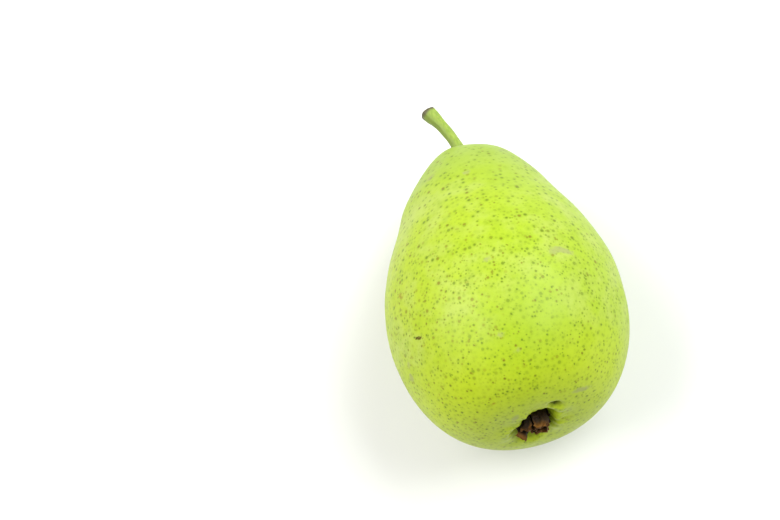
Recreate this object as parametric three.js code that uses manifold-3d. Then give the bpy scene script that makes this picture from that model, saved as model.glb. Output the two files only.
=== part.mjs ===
// A pear, lying on its side: the fruit, its woody stem, and the dried flower parts that stay in the
// basin at its base, which are a tuft of stamens inside a ring of five sepals.
//
// Units are millimetres. Each piece is made in the fruit's own frame: z runs along the fruit's axis
// from the basin's lip to the stem, y points at the side that lies on the table, and x is across.
// The finished group is then laid down: +Z up, the stem towards +Y, the table at z = 0, and the
// origin under the middle of the whole pear.
import * as THREE from "three";
import { mergeVertices } from "three/addons/utils/BufferGeometryUtils.js";
import Module from "manifold-3d";

const wasm = await Module();
wasm.setup();

// Fruit.
const FRUIT_LENGTH = 99; // from the basin's lip to the crown round the stem
const FRUIT_RADIUS = 36.6;
const EQUATOR_Z = 37.2; // height of the widest ring
const WAIST = { r: 31.2, z: 62.5, slope: 0.39 }; // slope is radius lost per mm of height
const NECK = { r: 24, z: 78, slope: 0.41 };
const BASIN = { lipRadius: 9.4, depth: 6.5 };
const CROWN_RADIUS = 7;
const CAVITY_DEPTH = 3.5; // how far the stem's root sits below the crown
const REST_TILT = THREE.MathUtils.degToRad(15); // the neck's dip when the weight is over the bulb's flat
const FLAT_DEPTH = 0.55; // skin flattened where the fruit lies on the table

// Stem.
const SOCKET_DEPTH = 5;
const GAP = 0.35; // clearance between neighbouring pieces
const STEM = { rootRadius: 2.1, waistRadius: 1.7, tipRadius: 2.5, reach: 18.6, sway: -8.2, lift: -1.5 };

// Dried flower.
const SEPAL_TIPS = [[2.7, -0.5], [5.2, -2.0], [2.6, -1.6], [3.0, -1.8], [2.9, -0.9]]; // radius, height
const SEPAL = { rootRadius: 2.2, width: 2.8, tipWidth: 1.6, thickness: 0.9 };
const TUFT = { radius: 1.4, height: 4.6 };

const SKIN = new THREE.MeshStandardMaterial({ color: 0xb9d64a, roughness: 0.42, metalness: 0 });
const BARK = new THREE.MeshStandardMaterial({ color: 0x86a544, roughness: 0.6, metalness: 0 });
const DRY_LEAF = new THREE.MeshStandardMaterial({ color: 0x3c2818, roughness: 0.85, metalness: 0 });
const DRY_TUFT = new THREE.MeshStandardMaterial({ color: 0x2a1c14, roughness: 0.9, metalness: 0 });

const { clamp } = THREE.MathUtils;
const gauss = (value, centre, width) => Math.exp(-(((value - centre) / width) ** 2));

// A closed three.js geometry as a manifold solid.
function solidOf(geometry) {
  const bare = new THREE.BufferGeometry();
  bare.setAttribute("position", geometry.getAttribute("position"));
  bare.setIndex(geometry.getIndex());
  const merged = mergeVertices(bare, 1e-4);
  return new wasm.Manifold(
    new wasm.Mesh({
      numProp: 3,
      vertProperties: new Float32Array(merged.getAttribute("position").array),
      triVerts: new Uint32Array(merged.getIndex().array),
    }),
  );
}

// A manifold solid as a three.js geometry.
function geometryOf(solid) {
  const mesh = solid.getMesh();
  const geometry = new THREE.BufferGeometry();
  geometry.setAttribute("position", new THREE.BufferAttribute(mesh.vertProperties, 3));
  geometry.setIndex(new THREE.BufferAttribute(mesh.triVerts, 1));
  geometry.computeVertexNormals();
  return geometry;
}

// Moves every vertex of a geometry to where place(vertex) says.
function reshape(geometry, place) {
  const position = geometry.getAttribute("position");
  const vertex = new THREE.Vector3();
  for (let i = 0; i < position.count; i += 1) {
    const { x, y, z } = place(vertex.fromBufferAttribute(position, i));
    position.setXYZ(i, x, y, z);
  }
  return geometry;
}

// Half of the fruit's long section: basin floor, lip, bulb, waist, neck, crown and stem cavity.
function fruitOutline() {
  const outline = new THREE.Path();
  const lip = BASIN.lipRadius;
  const top = FRUIT_LENGTH;
  outline.moveTo(0, BASIN.depth);
  outline.bezierCurveTo(7, BASIN.depth + 0.2, 5.3, 0, lip, 0);
  outline.bezierCurveTo(lip + 16.8, 0, FRUIT_RADIUS, EQUATOR_Z - 20, FRUIT_RADIUS, EQUATOR_Z);
  outline.bezierCurveTo(
    FRUIT_RADIUS, EQUATOR_Z + 10.8, WAIST.r + 8 * WAIST.slope, WAIST.z - 8, WAIST.r, WAIST.z,
  );
  outline.bezierCurveTo(
    WAIST.r - 6 * WAIST.slope, WAIST.z + 6, NECK.r + 7 * NECK.slope, NECK.z - 7, NECK.r, NECK.z,
  );
  outline.bezierCurveTo(
    NECK.r - 6 * NECK.slope, NECK.z + 6, CROWN_RADIUS + 6.2, top, CROWN_RADIUS, top,
  );
  outline.bezierCurveTo(4.5, top, 4, top - CAVITY_DEPTH, 0, top - CAVITY_DEPTH);
  return outline;
}

// What makes the round form a grown one: broad lobes, a fuller shoulder on one side, a neck that
// leans, a base that slants, folds round the crown, and an oval, puckered basin.
function grown({ x, y, z }) {
  const radius = Math.hypot(x, y);
  const turn = Math.atan2(y, x);
  const body = Math.sin(Math.PI * clamp(z / FRUIT_LENGTH, 0, 1));
  const rise = clamp((z - EQUATOR_Z) / (FRUIT_LENGTH - EQUATOR_Z), 0, 1);
  const fall = clamp(1 - z / EQUATOR_Z, 0, 1);
  const base = clamp(1 - z / 12, 0, 1);
  const crown = clamp((z - 84) / 12, 0, 1);

  const lobes =
    1 + body * (0.012 * Math.cos(2 * (turn - 0.35)) + 0.009 * Math.cos(3 * (turn + 0.9)));
  const oval = 1 + 0.24 * base * (1 - clamp((radius - 6) / 9, 0, 1)) * Math.cos(2 * (turn + 0.85));
  const puckers = 0.45 * base * gauss(radius, 9, 3.5) * Math.cos(5 * turn + 0.6);
  const folds = crown * gauss(radius, 9, 5) * (0.5 * Math.cos(3 * turn) + 0.7 * Math.cos(turn - 2));
  const shoulder = gauss(z, 79, 8) * Math.max(0, -Math.cos(turn)) ** 2;
  const wide = radius * lobes * oval + shoulder;
  return {
    x: wide * Math.cos(turn),
    y: wide * Math.sin(turn) + 1.8 * rise * rise,
    z: z + puckers + folds + 0.035 * x * fall,
  };
}

function fruitSolid() {
  const lathe = new THREE.LatheGeometry(fruitOutline().getSpacedPoints(66), 68);
  lathe.rotateX(Math.PI / 2);
  return solidOf(reshape(lathe, grown));
}

// How far below the fruit's axis a point lies once the fruit is on its side.
const depthOf = ({ y, z }) => y * Math.cos(REST_TILT) + z * Math.sin(REST_TILT);

function lowestDepth(solid) {
  const { vertProperties } = solid.getMesh();
  let lowest = -Infinity;
  for (let i = 0; i < vertProperties.length; i += 3) {
    lowest = Math.max(lowest, depthOf({ y: vertProperties[i + 1], z: vertProperties[i + 2] }));
  }
  return lowest;
}

// A block whose top face is the table, at that depth below the fruit's axis.
function tableSolid(depth) {
  const size = 300;
  const block = new THREE.BoxGeometry(size, size, size);
  block.translate(0, depth + size / 2, 0);
  block.rotateX(REST_TILT);
  return solidOf(block);
}

// A rod carried along a curve. section(share, turn) gives its [thick, wide] offsets at a share of the
// curve's length. The wide ones lie along side, which is square to a curve drawn in one plane.
function swept(curve, side, steps, sides, section) {
  const rod = new THREE.CylinderGeometry(1, 1, 1, sides, steps);
  return reshape(rod, ({ x, y, z }) => {
    const share = clamp(0.5 - y, 0, 1);
    const rim = Math.min(1, Math.hypot(x, z));
    const [thick, wide] = section(share, Math.atan2(z, x));
    const across = new THREE.Vector3().crossVectors(side, curve.getTangentAt(share)).normalize();
    return curve
      .getPointAt(share)
      .addScaledVector(across, rim * thick)
      .addScaledVector(side, rim * wide);
  });
}

// The stem: straight in its socket, then swaying to one side, and flared where it left the twig.
function stemSolid() {
  const root = FRUIT_LENGTH - CAVITY_DEPTH - SOCKET_DEPTH + GAP;
  const path = new THREE.CubicBezierCurve3(
    new THREE.Vector3(0, 0, root),
    new THREE.Vector3(0, 0, root + 9.7),
    new THREE.Vector3(STEM.sway * 0.4, STEM.lift * 0.4, FRUIT_LENGTH + STEM.reach * 0.59),
    new THREE.Vector3(STEM.sway, STEM.lift, FRUIT_LENGTH + STEM.reach),
  );
  const radius = (share) =>
    STEM.waistRadius +
    (STEM.rootRadius - STEM.waistRadius) * (1 - share) ** 2 +
    (STEM.tipRadius - STEM.waistRadius) * gauss(share, 1, 0.2);
  const side = new THREE.Vector3(STEM.lift, -STEM.sway, 0).normalize();
  return solidOf(
    swept(path, side, 24, 16, (share, turn) => {
      const r = radius(share);
      return [r * Math.cos(turn), r * Math.sin(turn)];
    }),
  );
}

// The hole in the bottom of the stem cavity that holds the stem's root.
function socketSolid() {
  const height = SOCKET_DEPTH + CAVITY_DEPTH + 8;
  const radius = STEM.rootRadius + GAP;
  const drill = new THREE.CylinderGeometry(radius, radius, height, 20);
  drill.rotateX(Math.PI / 2);
  drill.translate(0, 0, FRUIT_LENGTH - CAVITY_DEPTH - SOCKET_DEPTH + height / 2);
  return solidOf(drill);
}

// One dried sepal: a narrow leaf that stands up from the basin floor, each to a tip of its own.
function sepalSolid([tipRadius, tipHeight], number) {
  const turn = ((number + 1) / SEPAL_TIPS.length) * 2 * Math.PI + 0.1;
  const at = (radius, z) => new THREE.Vector3(radius * Math.cos(turn), radius * Math.sin(turn), z);
  const path = new THREE.CubicBezierCurve3(
    at(SEPAL.rootRadius, 5.1),
    at(SEPAL.rootRadius + 1.2, 4.3),
    at(SEPAL.rootRadius + 1.3, 1.2),
    at(tipRadius, tipHeight),
  );
  const side = new THREE.Vector3(-Math.sin(turn), Math.cos(turn), 0);
  return solidOf(
    swept(path, side, 10, 12, (share, around) => {
      const width = SEPAL.width + (SEPAL.tipWidth - SEPAL.width) * share * share;
      return [(SEPAL.thickness / 2) * Math.cos(around), (width / 2) * Math.sin(around)];
    }),
  );
}

// The dried stamens, as one low mound in the middle of the sepals.
function tuftSolid() {
  const floor = BASIN.depth - GAP - 0.1;
  const outline = new THREE.Path();
  outline.moveTo(0, floor - TUFT.height);
  outline.bezierCurveTo(
    TUFT.radius * 0.7, floor - TUFT.height, TUFT.radius, floor - 2, TUFT.radius, floor - 1,
  );
  outline.bezierCurveTo(TUFT.radius, floor - 0.2, TUFT.radius * 0.6, floor, 0, floor);
  const mound = new THREE.LatheGeometry(outline.getSpacedPoints(10), 16);
  mound.rotateX(Math.PI / 2);
  return solidOf(mound);
}

function piece(name, solid, material) {
  const mesh = new THREE.Mesh(geometryOf(solid), material);
  mesh.name = name;
  return mesh;
}

const whole = fruitSolid();
const tableDepth = lowestDepth(whole) - FLAT_DEPTH;
const fruit = whole.subtract(tableSolid(tableDepth)).subtract(socketSolid());

const upright = new THREE.Group();
upright.add(piece("fruit", fruit, SKIN));
upright.add(piece("stem", stemSolid(), BARK));
upright.add(piece("stamen_tuft", tuftSolid(), DRY_TUFT));
SEPAL_TIPS.forEach((tip, number) => {
  upright.add(piece(`sepal_${number + 1}`, sepalSolid(tip, number), DRY_LEAF));
});
upright.rotation.x = -(Math.PI / 2 + REST_TILT);

// Sets the pear down with the origin on the table, under the middle of its outline.
const pear = new THREE.Group();
pear.add(upright);
pear.updateMatrixWorld(true);
const box = new THREE.Box3().setFromObject(pear, true);
upright.position.set(-(box.min.x + box.max.x) / 2, -(box.min.y + box.max.y) / 2, tableDepth);

export default pear;
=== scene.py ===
import math

import bpy
import numpy as np
from mathutils import Matrix, Vector


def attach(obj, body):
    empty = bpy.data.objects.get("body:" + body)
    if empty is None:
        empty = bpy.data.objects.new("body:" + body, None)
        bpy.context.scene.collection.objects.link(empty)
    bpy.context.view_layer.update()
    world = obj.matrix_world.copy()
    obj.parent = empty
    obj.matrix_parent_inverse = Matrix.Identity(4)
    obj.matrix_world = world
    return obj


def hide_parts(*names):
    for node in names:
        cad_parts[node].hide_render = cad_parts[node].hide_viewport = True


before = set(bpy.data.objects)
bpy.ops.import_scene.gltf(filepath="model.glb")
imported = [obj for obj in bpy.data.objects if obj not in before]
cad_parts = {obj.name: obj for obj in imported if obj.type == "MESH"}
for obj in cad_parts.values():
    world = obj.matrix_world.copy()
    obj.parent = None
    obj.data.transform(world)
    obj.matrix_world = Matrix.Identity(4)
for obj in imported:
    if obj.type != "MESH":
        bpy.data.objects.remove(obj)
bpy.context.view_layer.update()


# Fruit: one grown body of firm flesh under a thin waxy skin, yellow where the sun reached it.
# It swelled from the base of the flower, so it has the withered flower in a puckered basin at one
# end and the stem at the other. Lenticels, the skin's breathing pores, show as small brown dots.

FRUIT_LENGTH = 99
EQUATOR_Z = 37.2
FRUIT_PLACE = (0.277, -56.021, 46.447)
REST_TILT = math.radians(15)
FRUIT_ROWS = (100, 150, 44)
FRUIT_COLUMNS = 316


def bezier(a, b, c, d, t):
    """Cubic curve through a and d, pulled by b and c: weights (1-t)^3, 3t(1-t)^2, 3t^2(1-t), t^3."""
    t = np.asarray(t)[:, None]
    a, b, c, d = (np.array(p, float) for p in (a, b, c, d))
    return a * (1 - t) ** 3 + 3 * b * t * (1 - t) ** 2 + 3 * c * t * t * (1 - t) + d * t ** 3


def bump(value, centre, width):
    """A smooth hump of height 1: exp(-((value - centre) / width)^2)."""
    return np.exp(-(((value - centre) / width) ** 2))


def fruit_outline():
    """Half of the long section, as radius and height in mm, from the basin's floor to the stem
    cavity's: basin, lip, bulb, waist, neck, crown and cavity, each a cubic curve."""
    top = FRUIT_LENGTH
    curves = (
        ((0, 6.5), (7, 6.7), (5.3, 0), (9.4, 0)),
        ((9.4, 0), (26.2, 0), (36.6, EQUATOR_Z - 20), (36.6, EQUATOR_Z)),
        ((36.6, EQUATOR_Z), (36.6, EQUATOR_Z + 10.8), (34.32, 54.5), (31.2, 62.5)),
        ((31.2, 62.5), (28.86, 68.5), (26.87, 71), (24, 78)),
        ((24, 78), (21.54, 84), (13.2, top), (7, top)),
        ((7, top), (4.5, top), (4, top - 3.5), (0, top - 3.5)),
    )
    t = np.linspace(0, 1, 300)
    return np.concatenate([bezier(*curve, t)[:-1] for curve in curves[:-1]] + [bezier(*curves[-1], t)])


def lengths(points):
    """Distance travelled along a polyline up to each of its points."""
    return np.concatenate([[0], np.cumsum(np.linalg.norm(np.diff(points, axis=0), axis=1))])


def ripple(x, y, z, seed, size, count=7):
    """Soft lumps about size mm across: the mean of count sine waves in random directions."""
    rng = np.random.default_rng(seed)
    total = 0
    for _ in range(count):
        way = rng.normal(size=3)
        way *= 2 * math.pi / (size * rng.uniform(0.8, 1.6) * np.linalg.norm(way))
        total = total + np.sin(way[0] * x + way[1] * y + way[2] * z + rng.uniform(0, 6.28))
    return total / count


def hollows(x, y):
    """The basin's own accidents, as humps about 1 high: a round pit at the lip, a short tuck across
    the lip from it, and a swelling on each side of the sepals."""
    pit = np.exp(-((x - 6.4) ** 2 + (y + 8.3) ** 2) / 3.2)
    tuck = np.exp(-(((x + 6.3) / 1.8) ** 2) - ((y - 1.9 - 0.34 * (x + 6.3)) / 0.7) ** 2)
    swelling = (np.exp(-((x + 4.9) ** 2 + (y + 2.6) ** 2) / 3.8)
                + 0.9 * np.exp(-((x - 5.8) ** 2 + (y + 0.6) ** 2) / 3.6))
    return pit, tuck, swelling


def grown(radius, turn, z):
    """Turns the round form into a grown one. The radius is scaled by a two-lobed and a three-lobed
    cosine and by an oval at the basin, and swells at one shoulder. The height gains folds round
    the crown, puckers and creases round the basin, a pit and a tuck beside it, and a slanted base.
    The neck leans towards the table."""
    x, y = radius * np.cos(turn), radius * np.sin(turn)
    body = np.sin(np.pi * np.clip(z / FRUIT_LENGTH, 0, 1))
    rise = np.clip((z - EQUATOR_Z) / (FRUIT_LENGTH - EQUATOR_Z), 0, 1)
    fall = np.clip(1 - z / EQUATOR_Z, 0, 1)
    base = np.clip(1 - z / 12, 0, 1)
    crown = np.clip((z - 84) / 12, 0, 1)

    lobes = 1 + body * (0.012 * np.cos(2 * (turn - 0.35)) + 0.009 * np.cos(3 * (turn + 0.9)))
    oval = 1 + 0.24 * base * (1 - np.clip((radius - 6) / 9, 0, 1)) * np.cos(2 * (turn + 0.85))
    puckers = 0.45 * base * bump(radius, 9, 3.5) * np.cos(5 * turn + 0.6)
    folds = crown * bump(radius, 9, 5) * (0.5 * np.cos(3 * turn) + 0.7 * np.cos(turn - 2))
    shoulder = bump(z, 79, 8) * np.maximum(0, -np.cos(turn)) ** 2
    lumps = body * (0.22 * ripple(x, y, z, 4, 21) + 0.1 * ripple(x, y, z, 9, 9))
    creases = base * bump(radius, 7, 2.6) * (
        0.16 * np.sin(11 * turn + 1.3 * np.sin(3 * turn)) + 0.1 * np.sin(23 * turn + 2 * np.sin(4 * turn)))
    pit, tuck, swelling = hollows(x, y)
    wide = radius * lobes * oval + shoulder + lumps
    basin = (z < 20) * (2.8 * pit + tuck - 2.8 * swelling)
    return (wide * np.cos(turn), wide * np.sin(turn) + 1.8 * rise * rise,
            z + puckers + folds + creases + 0.035 * x * fall + basin)


def laid(x, y, z):
    """From the fruit's own frame to the table's: z turns down by REST_TILT towards +Y, y turns
    to face the table, and mm become metres."""
    px, py, pz = FRUIT_PLACE
    slant, dip = math.cos(REST_TILT), math.sin(REST_TILT)
    return np.stack([px + x, py - y * dip + z * slant, pz - y * slant - z * dip], -1) / 1000


def skin_over(grid):
    """Faces of a grid of rows that run round, each closed on itself, with a fan at both ends:
    the first and the last row are then single points. Returns vertices and faces."""
    rows, columns = grid.shape[:2]
    i, j = np.meshgrid(np.arange(1, rows - 2), np.arange(columns), indexing="ij")
    k = (j + 1) % columns
    at = lambda row, column: 1 + (row - 1) * columns + column
    quads = np.stack([at(i, j), at(i, k), at(i + 1, k), at(i + 1, j)], -1).reshape(-1, 4)
    j = np.arange(columns)
    k = (j + 1) % columns
    last = 1 + (rows - 2) * columns
    start = np.stack([np.zeros_like(j), at(1, k), at(1, j)], -1)
    end = np.stack([np.full_like(j, last), at(rows - 2, j), at(rows - 2, k)], -1)
    points = np.concatenate([grid[0, :1], grid[1:-1].reshape(-1, grid.shape[2]), grid[-1, :1]])
    return points, quads.tolist() + start.tolist() + end.tolist()


def make_piece(name, points, faces, finish, marks=None):
    """A smooth-shaded object at the origin, with marks as one number a vertex under each name."""
    mesh = bpy.data.meshes.new(name)
    mesh.from_pydata(points, [], faces)
    mesh.polygons.foreach_set("use_smooth", np.ones(len(mesh.polygons), bool))
    for mark, values in (marks or {}).items():
        mesh.attributes.new(mark, "FLOAT", "POINT").data.foreach_set("value", np.ravel(values))
    mesh.update()
    mesh.materials.append(finish)
    piece = bpy.data.objects.new(name, mesh)
    bpy.context.scene.collection.objects.link(piece)
    return piece


def node(tree, kind, sockets, **settings):
    """Adds a shader node, then sets or links each of the sockets given."""
    new = tree.nodes.new("ShaderNode" + kind)
    for name, value in settings.items():
        setattr(new, name, value)
    for name, value in sockets.items():
        if isinstance(value, bpy.types.NodeSocket):
            tree.links.new(value, new.inputs[name])
        else:
            new.inputs[name].default_value = value
    return new


def tint(tree, share, under, over):
    """The colour under, with share of the colour over laid on it."""
    colours = {name: (*value, 1) if isinstance(value, tuple) else value
               for name, value in ((6, under), (7, over))}
    return node(tree, "Mix", {0: share, **colours}, data_type="RGBA").outputs[2]


def eased(tree, value, low, high, start=0.0, end=1.0):
    """value, brought smoothly from start at low to end at high."""
    sockets = {"Value": value, "From Min": low, "From Max": high, "To Min": start, "To Max": end}
    return node(tree, "MapRange", sockets, interpolation_type="SMOOTHSTEP").outputs[0]


def maths(tree, operation, a, b=0.0, c=0.0):
    """One step of arithmetic on numbers or sockets."""
    return node(tree, "Math", {0: a, 1: b, 2: c}, operation=operation).outputs[0]


def mark(tree, name):
    """The number that the mesh carries under that name."""
    return node(tree, "Attribute", {}, attribute_name=name).outputs["Fac"]


def cloud(tree, place, size, detail=3.0, rough=0.55):
    """Cloudy noise from 0 to 1 with patches about size mm across."""
    sockets = {"Vector": place, "Scale": 1 / size, "Detail": detail, "Roughness": rough}
    return node(tree, "TexNoise", sockets).outputs["Fac"]


def in_mm(tree):
    """Object coordinates in millimetres."""
    place = node(tree, "TexCoord", {}).outputs["Object"]
    return node(tree, "Mapping", {"Vector": place, "Scale": (1000, 1000, 1000)}).outputs[0]


def speckle(tree, place, spacing, radius, least, most):
    """Scattered dots. Each cell of a cell pattern has one dot, with its own size and strength.
    Returns the dot's strength, its soft surround, and a random number for its colour."""
    cells = node(tree, "TexVoronoi", {"Vector": place, "Scale": 1 / spacing, "Randomness": 1.0})
    chance = node(tree, "SeparateColor", {0: cells.outputs["Color"]})
    size = eased(tree, chance.outputs[0], 0, 1, 0.55 * radius / spacing, 1.25 * radius / spacing)
    near = maths(tree, "DIVIDE", cells.outputs["Distance"], size)
    strength = eased(tree, chance.outputs[1], 0.1, 0.9, least, most)
    dot = maths(tree, "MULTIPLY", eased(tree, near, 1.0, 0.45), strength)
    halo = maths(tree, "MULTIPLY", eased(tree, near, 2.3, 0.5), strength)
    return dot, halo, chance.outputs[2]


def new_finish(name):
    """A material and its principled shader."""
    finish = bpy.data.materials.new(name)
    finish.use_nodes = True
    return finish, finish.node_tree, finish.node_tree.nodes["Principled BSDF"]


def pear_skin():
    finish, tree, shader = new_finish("pear_skin")
    place = in_mm(tree)
    along, across = mark(tree, "along"), mark(tree, "across")
    warped = node(tree, "VectorMath", {
        0: place,
        1: node(tree, "TexNoise", {"Vector": place, "Scale": 0.3, "Detail": 2.0}).outputs["Color"],
    }, operation="ADD").outputs[0]

    # Ground colour: yellow-green and lighter on the -x side, greener and darker on the +x side and round the
    # stem. The yellow-green is partly the sunny side's own colour, and the lighter -x side is partly painted
    # light.
    # Partly painted light: the -x side is made lighter and the +x side darker.
    greener_and_shaded_side = maths(tree, "ADD", across, maths(tree, "MULTIPLY", cloud(tree, place, 30), 0.8))
    ground = tint(tree, eased(tree, greener_and_shaded_side, 0.25, 1.15), (0.350, 0.445, 0.016), (0.305, 0.425, 0.018))
    pale = eased(tree, cloud(tree, place, 10, 4), 0.38, 0.70, 0, 0.7)
    dark = eased(tree, cloud(tree, warped, 4.5, 4), 0.45, 0.72, 0, 0.4)
    ground = tint(tree, pale, ground, (0.36, 0.435, 0.085))
    ground = tint(tree, dark, ground, (0.235, 0.34, 0.008))
    ground = tint(tree, eased(tree, along, 0.66, 0.92, 0, 0.8), ground, (0.245, 0.355, 0.026))
    # Painted light: the skin is made lighter towards the basin end.
    ground = tint(tree, eased(tree, along, 0.25, 0.05, 0, 0.8), ground, (0.405, 0.510, 0.012))
    ground = tint(tree, maths(tree, "MULTIPLY", mark(tree, "green"), 0.75), ground, (0.255, 0.375, 0.008))

    # Lenticels: large and sparse towards the neck, fine and close towards the basin.
    large, large_halo, large_mix = speckle(tree, place, 1.66, 0.60, 0.35, 0.95)
    fine, fine_halo, fine_mix = speckle(tree, warped, 1.12, 0.38, 0.25, 0.95)
    high = eased(tree, along, 0.12, 0.5, 0.55, 1.0)
    low = eased(tree, along, 0.75, 0.3, 0.0, 1.0)
    large, large_halo = (maths(tree, "MULTIPLY", value, high) for value in (large, large_halo))
    fine, fine_halo = (maths(tree, "MULTIPLY", value, low) for value in (fine, fine_halo))
    halo = maths(tree, "MAXIMUM", large_halo, fine_halo)
    dots = maths(tree, "MAXIMUM", large, fine)
    skin = tint(tree, maths(tree, "MULTIPLY", halo, 0.42), ground, (0.17, 0.26, 0.005))
    redness = eased(tree, maths(tree, "SUBTRACT", large_mix, maths(tree, "MULTIPLY", across, 0.5)), 0.25, 0.6)
    pore = tint(tree, redness, (0.095, 0.150, 0.001), (0.16, 0.110, 0.002))
    skin = tint(tree, maths(tree, "MULTIPLY", dots, 0.85), skin, pore)

    # Marks of growing and handling: rubbed grey patches, small brown scars and rusty flecks, then painted
    # shade in the pit and the tuck at the basin's lip.
    torn = cloud(tree, place, 1.1, 4, 0.65)
    # Rubbed grey patches, and one pale patch that is a painted highlight.
    rub_and_highlight = eased(tree, maths(tree, "ADD", mark(tree, "rub_and_highlight"), maths(tree, "MULTIPLY", torn, 0.9)), 0.72, 1.25)
    skin = tint(tree, maths(tree, "MULTIPLY", rub_and_highlight, 0.72), skin, (0.27, 0.29, 0.10))
    fleck = maths(tree, "ADD", mark(tree, "rust"), cloud(tree, place, 0.9, 4, 0.6))
    skin = tint(tree, eased(tree, fleck, 1.0, 1.4, 0, 0.8), skin, (0.23, 0.165, 0.003))
    scar = eased(tree, maths(tree, "ADD", mark(tree, "scar"), maths(tree, "MULTIPLY", torn, 0.7)), 0.95, 1.2)
    skin = tint(tree, scar, skin, (0.078, 0.062, 0.001))
    # Painted shade: the skin darkens in the pit and the tuck at the basin's lip.
    skin = tint(tree, eased(tree, mark(tree, "pit_shade"), 0.25, 0.9, 0, 0.85), skin, (0.085, 0.085, 0.002))
    tree.links.new(skin, shader.inputs["Base Color"])

    wax = cloud(tree, place, 7, 4)
    gloss = maths(tree, "ADD", eased(tree, wax, 0.3, 0.7, 0.42, 0.52), maths(tree, "MULTIPLY", rub_and_highlight, 0.15))
    tree.links.new(maths(tree, "ADD", gloss, maths(tree, "MULTIPLY", scar, 0.3)), shader.inputs["Roughness"])
    shader.inputs["Specular IOR Level"].default_value = 0.2
    shader.inputs["Subsurface Weight"].default_value = 0.12
    shader.inputs["Subsurface Radius"].default_value = (1.0, 0.8, 0.2)
    shader.inputs["Subsurface Scale"].default_value = 0.002
    shader.inputs["Coat Weight"].default_value = 0.04
    shader.inputs["Coat Roughness"].default_value = 0.22

    # Relief: a faint orange-peel grain, pores that stand up a little, and sunken scars.
    relief = maths(tree, "MULTIPLY", cloud(tree, place, 0.9, 2), 0.35)
    relief = maths(tree, "ADD", relief, maths(tree, "MULTIPLY", dots, 0.5))
    relief = maths(tree, "SUBTRACT", relief, maths(tree, "MULTIPLY", scar, 1.2))
    dents = node(tree, "Bump", {"Height": relief, "Strength": 0.35, "Distance": 0.00012})
    tree.links.new(dents.outputs[0], shader.inputs["Normal"])
    return finish


outline = fruit_outline()
travelled = lengths(outline)
stops = np.concatenate([np.linspace(0, 28, FRUIT_ROWS[0])[:-1],
                        np.linspace(28, travelled[-1] - 12, FRUIT_ROWS[1])[:-1],
                        np.linspace(travelled[-1] - 12, travelled[-1], FRUIT_ROWS[2])])
radius = np.interp(stops, travelled, outline[:, 0])[:, None]
height = np.interp(stops, travelled, outline[:, 1])[:, None]
turn = np.linspace(-math.pi, math.pi, FRUIT_COLUMNS, endpoint=False)[None, :]
own = np.stack(np.broadcast_arrays(*grown(radius, turn, height + 0 * turn)), -1)
own[0], own[-1] = own[0].mean(0), own[-1].mean(0)


def patches(spots):
    """How strongly each vertex is marked. A spot is how far from the basin's middle along the skin
    and how far round it lies, its half-length round and half-width along in mm, its slant, and its
    strength. It fades as exp(-distance^2)."""
    total = np.zeros(own.shape[:2])
    for reach, around, long, broad, slant, strength in spots:
        here = np.interp(reach, travelled, outline[:, 0])
        up = stops[:, None] - reach + 0 * turn
        side = ((turn - around + math.pi) % (2 * math.pi) - math.pi) * here + 0 * up
        a = (side * math.cos(slant) + up * math.sin(slant)) / long
        b = (up * math.cos(slant) - side * math.sin(slant)) / broad
        total = np.maximum(total, strength * np.exp(-a * a - b * b))
    return total


# Rubbed grey patches. The pale patch at 14.2 mm and -2.11, on the bulge beside the basin, is a painted
# highlight.
RUBS_AND_HIGHLIGHT = (
    (64.9, -0.97, 4.4, 1.2, -0.25, 1.1), (64.4, -1.05, 2.4, 1.5, 0.2, 0.8), (65.1, -1.61, 1.8, 1.3, 0, 0.8),
    (106.4, -1.61, 1.8, 1.4, 0.3, 0.8), (41.7, -1.67, 1.6, 1.3, 0, 0.7), (35.9, -1.55, 1.8, 1.2, 0, 0.6),
    (49.3, -2.71, 1.5, 1.3, 0, 0.8), (46.3, -2.79, 1.5, 1.4, 0, 1.2), (22.1, -0.60, 3.8, 1.2, 0.5, 0.9),
    (111.9, -2.16, 3.0, 2.0, 0.6, 0.7), (14.2, -2.11, 2.6, 1.1, 0.2, 0.8),
    (119.7, -0.83, 3.0, 1.2, 0.4, 0.7), (84.0, 0.6, 3.5, 1.3, 0.2, 0.8), (52.0, 1.2, 2.4, 1.6, 0.9, 0.8),
    (70.0, 2.3, 4.0, 1.2, 0.5, 0.9), (38.0, 2.9, 2.2, 1.5, 0, 0.8), (95.0, 1.9, 2.0, 1.5, 0, 0.7),
)
GREENS = (
    (42.0, -1.42, 17.0, 15.0, 0.3, 1.0), (100.0, -1.2, 9.0, 7.0, 0.4, 0.6), (60.0, 1.9, 14.0, 20.0, 0.2, 0.7),
)
RUST = (
    (68.1, -2.48, 2.4, 2.6, 0.4, 0.8), (23.2, -2.11, 2.2, 1.0, 0, 0.8), (49.6, -2.40, 2.4, 1.6, -0.8, 0.7),
    (35.9, -2.59, 6.5, 0.6, 0.05, 0.75), (99.0, -1.37, 1.6, 1.2, 0, 0.5), (28.4, -0.94, 1.6, 1.2, 0.8, 0.6),
    (58.0, 1.6, 2.6, 1.6, 0.4, 0.8), (88.0, 2.7, 2.0, 2.0, 0, 0.7),
)
SCARS = (
    (52.4, -2.42, 3.1, 0.75, -0.46, 1.1), (50.2, -2.39, 0.9, 0.8, 0.9, 0.7),
    (46.1, -2.80, 1.5, 1.0, 0, 0.75), (76.0, 1.1, 1.2, 0.8, 0.4, 0.9),
)

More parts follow.
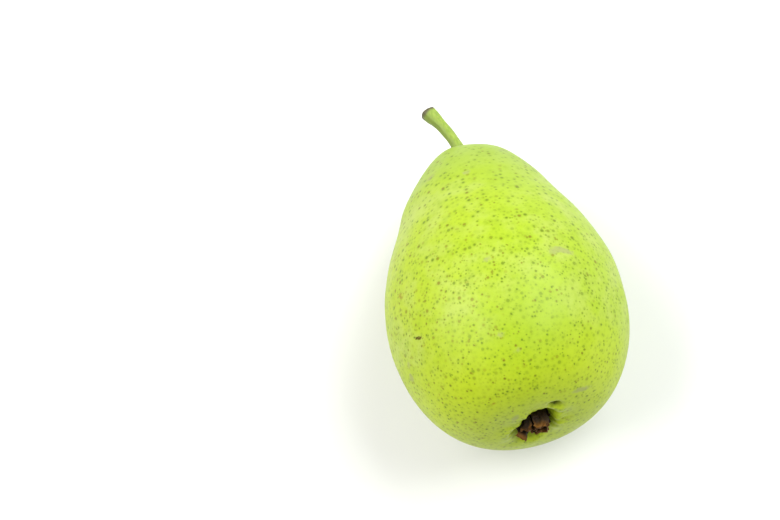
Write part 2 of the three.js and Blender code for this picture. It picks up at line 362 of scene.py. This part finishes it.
rust = np.maximum(patches(RUST), 0.75 * bump(radius, 0, 5.2) + 0 * turn)
marks = {
    "along": own[..., 2] / FRUIT_LENGTH,
    "across": 0.5 + own[..., 0] / 74,
    "rub_and_highlight": patches(RUBS_AND_HIGHLIGHT),
    "rust": rust,
    "green": patches(GREENS),
    "scar": patches(SCARS),
    # painted shade in the basin's pit and tuck
    "pit_shade": (height < 20) * np.maximum(*hollows(radius * np.cos(turn), radius * np.sin(turn))[:2]),
}
place = laid(own[..., 0], own[..., 1], own[..., 2])
place[..., 2] = np.maximum(place[..., 2], 0)
points, faces = skin_over(place)
marks = {name: np.concatenate([value[0, :1], value[1:-1].ravel(), value[-1, :1]])
         for name, value in marks.items()}
fruit = make_piece("pear_fruit", points, faces, pear_skin(), marks)
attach(fruit, "root")
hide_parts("fruit")


# Stem: the woody stalk that the fruit hung from, green along its length and brown where it broke
# off the twig. It stands in the crown's cavity, sways to one side, and flares at its free end.

STEM_ROOT = FRUIT_LENGTH - 8.15
STEM_RADII = (2.1, 1.7, 2.5)
STEM_SWAY, STEM_LIFT, STEM_REACH = -8.2, -1.5, 18.6


def swept(path, side, section, columns):
    """A rod along a path. section(share, turn) gives how thick it is and how wide at that share of
    the path's length and that turn round it, and how far that point is pushed along the path. The
    wide ones lie along side, the thick ones square to it and to the path."""
    share = lengths(path) / lengths(path)[-1]
    ahead = np.gradient(path, axis=0)
    ahead /= np.linalg.norm(ahead, axis=1, keepdims=True)
    across = np.cross(side, ahead)
    across /= np.linalg.norm(across, axis=1, keepdims=True)
    round_ = np.linspace(-math.pi, math.pi, columns, endpoint=False)[None, :]
    thick, wide, push = section(share[:, None], round_)
    body = (path[:, None] + across[:, None] * thick[..., None] + np.asarray(side) * wide[..., None]
            + ahead[:, None] * push[..., None])
    start, end = (np.broadcast_to(body[row].mean(0), (1, *body.shape[1:])) for row in (0, -1))
    return np.concatenate([start, body, end])


def stem_bark():
    finish, tree, shader = new_finish("stem_bark")
    place = in_mm(tree)
    share, rim = mark(tree, "share"), mark(tree, "rim")
    grain = node(tree, "TexNoise", {
        "Vector": node(tree, "Mapping", {"Vector": place, "Scale": (1, 0.16, 1)}).outputs[0],
        "Scale": 2.2, "Detail": 4.0}).outputs["Fac"]
    bark = tint(tree, eased(tree, grain, 0.35, 0.68), (0.185, 0.275, 0.022), (0.26, 0.35, 0.045))
    bark = tint(tree, eased(tree, cloud(tree, place, 2.6, 4), 0.5, 0.75, 0, 0.4), bark, (0.135, 0.215, 0.015))
    dots, halo, _ = speckle(tree, place, 1.3, 0.22, 0.0, 0.8)
    bark = tint(tree, maths(tree, "MULTIPLY", dots, 0.6), bark, (0.24, 0.16, 0.05))
    frayed = maths(tree, "ADD", share, maths(tree, "MULTIPLY", cloud(tree, place, 1.4, 4), 0.05))
    # Painted shade: one side of the stem is made darker.
    bark = tint(tree, eased(tree, mark(tree, "shaded"), 0.4, 1.0, 0, 0.75), bark, (0.125, 0.180, 0.008))
    bark = tint(tree, eased(tree, frayed, 0.960, 1.005), bark, (0.07, 0.058, 0.02))
    bark = tint(tree, eased(tree, frayed, 0.20, 0.06), bark, (0.15, 0.17, 0.02))
    cut = tint(tree, cloud(tree, place, 0.5, 5, 0.7), (0.04, 0.028, 0.012), (0.16, 0.12, 0.06))
    tree.links.new(tint(tree, rim, bark, cut), shader.inputs["Base Color"])
    tree.links.new(eased(tree, grain, 0.2, 0.8, 0.45, 0.62), shader.inputs["Roughness"])
    shader.inputs["Subsurface Weight"].default_value = 0.05
    shader.inputs["Subsurface Scale"].default_value = 0.001
    ridges = maths(tree, "ADD", grain, maths(tree, "MULTIPLY", rim, cloud(tree, place, 0.35, 4)))
    relief = node(tree, "Bump", {"Height": ridges, "Strength": 0.5, "Distance": 0.0003})
    tree.links.new(relief.outputs[0], shader.inputs["Normal"])
    return finish


def stem_section(share, turn):
    """Round, thinning from the root and flaring at the end, with four soft ribs and a few knots.
    The end is cut on the slant, and its face sinks a little in the middle."""
    root, middle, tip = STEM_RADII
    radius = middle + (root - middle) * (1 - share) ** 2 + (tip - middle) * bump(share, 1, 0.2)
    ribs = 1 + 0.035 * np.cos(4 * turn + 3 * share) + 0.02 * np.cos(9 * turn - 5 * share)
    knots = 1 + 0.05 * bump(share, 0.56, 0.035) * np.cos(turn - 1) + 0.03 * np.sin(23 * share + 2 * turn)
    edge = np.clip((share - 0.985) / 0.015, 0, 1)
    r = radius * ribs * knots * (1 - 0.10 * edge ** 2)
    return r * np.cos(turn), r * np.sin(turn), -0.45 * bump(share, 1, 0.05) * np.cos(turn)


STEM_COLUMNS = 56
route = bezier((0, 0, STEM_ROOT), (0, 0, STEM_ROOT + 9.7),
               (STEM_SWAY * 0.4, STEM_LIFT * 0.4, FRUIT_LENGTH + STEM_REACH * 0.59),
               (STEM_SWAY, STEM_LIFT, FRUIT_LENGTH + STEM_REACH), np.linspace(0, 1, 150))
side = np.array([STEM_LIFT, -STEM_SWAY, 0]) / math.hypot(STEM_LIFT, STEM_SWAY)
rod = swept(route, side, stem_section, STEM_COLUMNS)
share = np.concatenate([[0], lengths(route) / lengths(route)[-1], [1]])[:, None] + np.zeros((1, STEM_COLUMNS))

# The cut face: rings that close in on the end's middle, crumbled and slightly hollow.
rings = np.linspace(0.97, 0.12, 12)[:, None, None]
middle = rod[-1, :1]
face = middle + (rod[-2] - middle) * rings
spread = face - middle
onward = (route[-1] - route[-2]) / np.linalg.norm(route[-1] - route[-2])
crumbs = 0.16 * ripple(*(spread[..., axis] for axis in range(3)), 3, 1.3, 9)[..., None]
face = face + onward * (crumbs - 0.45 * (1 - rings ** 2) + 0.08)
rod = np.concatenate([rod[:-1], face, np.broadcast_to(face[-1].mean(0), (1, *rod.shape[1:]))])
share = np.concatenate([share[:-1], np.ones((len(face) + 1, STEM_COLUMNS))])
rim = np.zeros_like(share)
rim[-len(face) - 1:] = 1
# Painted shade: darkest on one side of the stem, none on the other.
shaded = 0.5 - 0.5 * np.cos(np.linspace(-math.pi, math.pi, STEM_COLUMNS, endpoint=False)) + 0 * share
points, faces = skin_over(laid(rod[..., 0], rod[..., 1], rod[..., 2]))
marks = {name: np.concatenate([value[0, :1], value[1:-1].ravel(), value[-1, :1]])
         for name, value in (("share", share), ("rim", rim), ("shaded", shaded))}
stem = make_piece("pear_stem", points, faces, stem_bark(), marks)
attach(stem, "root")
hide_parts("stem")


# Sepals: the five leaves that once held the flower, now dry, dark and brittle. Each stands on the
# basin's floor, is folded along its middle, and has a ragged tip that curls in or out.

SEPAL_ROOT = 2.2
SEPAL_TIPS = ((3.1, -1.1), (5.2, -2.0), (2.6, -1.6), (3.0, -1.8), (2.9, -0.9))


def dry_calyx():
    finish, tree, shader = new_finish("dry_calyx")
    place = in_mm(tree)
    share = mark(tree, "share")
    fibre = cloud(tree, place, 0.45, 5, 0.7)
    colour = tint(tree, eased(tree, fibre, 0.3, 0.7), (0.007, 0.003, 0.0004), (0.034, 0.016, 0.003))
    mould = eased(tree, cloud(tree, place, 1.6, 3), 0.55, 0.72, 0, 0.5)
    dust = eased(tree, cloud(tree, place, 0.8, 3), 0.66, 0.76, 0, 0.3)
    colour = tint(tree, mould, colour, (0.045, 0.031, 0.003))
    colour = tint(tree, eased(tree, share, 0.80, 1.0, 0, 0.85), colour, (0.17, 0.068, 0.005))
    colour = tint(tree, dust, colour, (0.07, 0.055, 0.04))
    tree.links.new(colour, shader.inputs["Base Color"])
    tree.links.new(eased(tree, fibre, 0.3, 0.7, 0.45, 0.85), shader.inputs["Roughness"])
    shader.inputs["Specular IOR Level"].default_value = 0.22
    relief = node(tree, "Bump", {"Height": fibre, "Strength": 0.8, "Distance": 0.0003})
    tree.links.new(relief.outputs[0], shader.inputs["Normal"])
    return finish


def make_dry(name, shapes, finish):
    """Joins closed grids, each with its share from root to tip, into one dry piece."""
    points, faces, shares, first = [], [], [], 0
    for grid in shapes:
        corner, face = skin_over(laid(grid[..., 0], grid[..., 1], grid[..., 2]))
        rows = np.linspace(0, 1, len(grid))
        shares.append(np.concatenate([[0], np.repeat(rows[1:-1], grid.shape[1]), [1]]))
        points.append(corner)
        faces += [[first + index for index in loop] for loop in face]
        first += len(corner)
    return make_piece(name, np.concatenate(points), faces, finish, {"share": np.concatenate(shares)})


def sepal(number, tip_radius, tip_height):
    """A flat rod up a curve in a plane through the fruit's axis, to a tip of its own. It
    swells a little, then narrows to a torn tip. Its section is cupped round the stamens, and soft
    lumps crumple it more and more towards the tip."""
    turn = (number + 1) / 5 * 2 * math.pi + 0.1
    out = np.array([math.cos(turn), math.sin(turn), 0])
    corners = ((SEPAL_ROOT, 5.1), (SEPAL_ROOT + 1.2, 4.3), (SEPAL_ROOT + 1.3, 1.2), (tip_radius, tip_height))
    path = bezier(*(out * r + np.array([0, 0, z]) for r, z in corners), np.linspace(0, 1, 56))

    def section(share, around):
        width = 1.3 + 0.8 * np.sin(math.pi * share) ** 0.8 + 0.8 * share
        width = width * (1 + 0.14 * share * np.sin(19 * share + 2.1 * number))
        wide = width * np.sin(around)
        thick = (0.46 - 0.10 * share) * (1 + 0.3 * np.sin(2.6 * wide + 13 * share + 3 * number))
        cup = 0.20 * wide ** 2 * (1 - 0.3 * share)
        folds = 0.34 * share * np.sin(1.6 * wide + 12 * share + 2 * number)
        torn = share ** 4 * (0.4 * np.sin(1.9 * wide + number) + 0.12 * np.sin(6.7 * wide + 3 * number))
        return thick * np.cos(around) - cup + folds, wide, torn

    grid = swept(path, (-math.sin(turn), math.cos(turn), 0), section, 64)
    x, y, z = (grid[..., axis] for axis in range(3))
    loose = (0.15 + 0.85 * np.linspace(0, 1, len(grid)))[:, None]
    crumple = [0.62 * ripple(x, y, z, 31 + number * 3 + axis, 2.4, 6)
               + 0.30 * ripple(x, y, z, 61 + number * 3 + axis, 1.0, 8) for axis in range(3)]
    return grid + loose[..., None] * np.stack(crumple, -1)


calyx_finish = dry_calyx()
for number, tip in enumerate(SEPAL_TIPS):
    leaf = make_dry(f"pear_sepal_{number + 1}", [sepal(number, *tip)], calyx_finish)
    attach(leaf, "root")
    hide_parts(f"sepal_{number + 1}")


# Stamens: the withered threads that stood in the middle of the flower, matted together on a low
# dry pad, each with the remains of its pollen sac at its tip.

def stamen(rng):
    """A thin rod from the pad up a wandering curve, with a swelling at its tip."""
    turn, reach = rng.uniform(0, 2 * math.pi), 1.4 * math.sqrt(rng.uniform(0.02, 1))
    foot = np.array([reach * math.cos(turn), reach * math.sin(turn), 5.0])
    lean = rng.normal(scale=0.7, size=(2, 2))
    rise = rng.uniform(4.0, 7.0)
    bend = foot + np.array([*lean[0], -rise * 0.6])
    tip = foot * np.array([1.1, 1.1, 1]) + np.array([*lean[1], -rise])
    path = bezier(foot, foot - np.array([0, 0, rise * 0.4]), bend, tip, np.linspace(0, 1, 16))

    def section(share, around):
        r = 0.20 * (1 - 0.35 * share) + 0.24 * bump(share, 0.93, 0.08)
        return r * np.cos(around), r * np.sin(around), 0 * share * around

    return swept(path, (0.0, 1.0, 0.0), section, 8)


def tuft_pad():
    """A low dome turned about the fruit's axis, roughened by small lumps."""
    angle = math.pi * np.linspace(1, 0, 24)[:, None]
    turn = np.linspace(-math.pi, math.pi, 48, endpoint=False)[None, :]
    radius = 1.45 * np.sin(angle) ** 0.8
    z = 4.6 + 1.3 * np.cos(angle) + 0 * turn
    x, y = radius * np.cos(turn), radius * np.sin(turn)
    lump = 1 + 0.2 * ripple(x, y, z, 77, 1.3, 9)
    return np.stack([x * lump, y * lump, 4.6 + (z - 4.6) * lump], -1)


rng = np.random.default_rng(12)
tuft = make_dry("pear_stamens", [tuft_pad()] + [stamen(rng) for _ in range(30)], calyx_finish)
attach(tuft, "root")
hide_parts("stamen_tuft")


# Floor: a wide sheet of white matte paper for the pear to lie on. Two soft boxes light it from
# above, one to each side, and a white tent all round fills in the shadows.

FLOOR_SIZE = 6


def paper():
    finish, tree, shader = new_finish("white_paper")
    place = in_mm(tree)
    shade = tint(tree, cloud(tree, place, 60, 3), (0.70, 0.705, 0.69), (0.73, 0.73, 0.715))
    tree.links.new(shade, shader.inputs["Base Color"])
    shader.inputs["Roughness"].default_value = 0.75
    shader.inputs["Specular IOR Level"].default_value = 0.2
    return finish


half = FLOOR_SIZE / 2
sheet = bpy.data.meshes.new("floor")
corners = [(-half, -half, 0), (half, -half, 0), (half, half, 0), (-half, half, 0)]
sheet.from_pydata(corners, [], [(0, 1, 2, 3)])
sheet.materials.append(paper())
floor = bpy.data.objects.new("floor", sheet)
bpy.context.scene.collection.objects.link(floor)


def softbox(name, spot, target, size, power, colour):
    """A square area light at spot that points at target."""
    light = bpy.data.lights.new(name, "AREA")
    light.shape = "SQUARE"
    light.size = size
    light.energy = power
    light.color = colour
    box = bpy.data.objects.new(name, light)
    bpy.context.scene.collection.objects.link(box)
    box.location = spot
    box.rotation_euler = Vector(np.subtract(target, spot)).to_track_quat("-Z", "Y").to_euler()


softbox("key_light", (-0.75, 0.26, 0.95), (0, 0, 0.03), 1.0, 19, (1.0, 0.99, 0.97))
softbox("fill_light", (0.8, 0.24, 0.95), (0, 0, 0.03), 1.0, 23, (0.98, 1.0, 1.0))
world = bpy.data.worlds.new("tent")
world.use_nodes = True
world.node_tree.nodes["Background"].inputs["Color"].default_value = (1, 1, 1, 1)
world.node_tree.nodes["Background"].inputs["Strength"].default_value = 0.38
scene = bpy.context.scene
scene.world = world
scene.view_settings.view_transform = "Standard"
scene.view_settings.look = "None"


# Camera: over the fruit, looking steeply down past the basin end at the whole of its upper side,
# and rolled so that the neck leans to the left.

CAMERA_DISTANCE = 0.620
CAMERA_DIP = math.radians(77)
CAMERA_ROLL = math.radians(14.78)
LENS = 93.1
AIM_SLOPE = (0.05838, -0.02898)  # its aim off the fruit's middle, to the left and downwards

centre = laid(0.0, 0.0, EQUATOR_Z)
look = np.array([0, math.cos(CAMERA_DIP), -math.sin(CAMERA_DIP)])
rise = np.array([0, math.sin(CAMERA_DIP), math.cos(CAMERA_DIP)])
right = np.array([math.cos(CAMERA_ROLL), 0, 0]) - math.sin(CAMERA_ROLL) * rise
up = np.array([math.sin(CAMERA_ROLL), 0, 0]) + math.cos(CAMERA_ROLL) * rise
spot = centre - look * CAMERA_DISTANCE
look = look - AIM_SLOPE[0] * right - AIM_SLOPE[1] * up
look /= np.linalg.norm(look)
right -= look * right.dot(look)
right /= np.linalg.norm(right)
up = np.cross(right, look)
lens = bpy.data.cameras.new("camera")
lens.lens = LENS
lens.sensor_width = 36
lens.clip_end = 20
camera = bpy.data.objects.new("camera", lens)
scene.collection.objects.link(camera)
turned = np.eye(4)
turned[:3, 0], turned[:3, 1], turned[:3, 2], turned[:3, 3] = right, up, -look, spot
camera.matrix_world = Matrix(turned.tolist())
scene.camera = camera
